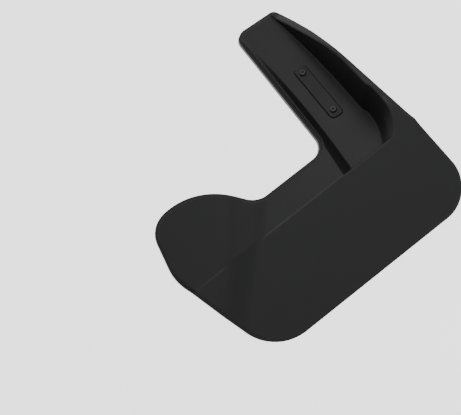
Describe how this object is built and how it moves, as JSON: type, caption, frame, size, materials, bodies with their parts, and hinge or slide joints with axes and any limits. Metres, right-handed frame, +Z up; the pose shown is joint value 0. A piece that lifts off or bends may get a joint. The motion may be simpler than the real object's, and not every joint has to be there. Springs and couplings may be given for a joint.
{
  "type": "mud flap",
  "caption": "Moulded front mud flap with a leaning clamp arm, hollow side fin, inboard ear, rolled rim and a small screwed name plate.",
  "frame": {"origin": "middle of the clamping face on the back of the arm", "axes": "as it hangs in use: +X outboard from the vehicle's left side, +Y rearward, away from the tyre, +Z up"},
  "size_m": [0.3433, 0.1513, 0.3393],
  "materials": {
    "flap_plastic": "fine-grained satin black",
    "plate_plastic": "smooth satin black",
    "black_screw": "black coated steel"
  },
  "bodies": {
    "root": {"flap_moulding": "flap_plastic", "name_plate": "plate_plastic", "lower_plate_screw": "black_screw", "upper_plate_screw": "black_screw"}
  },
  "joints": []
}
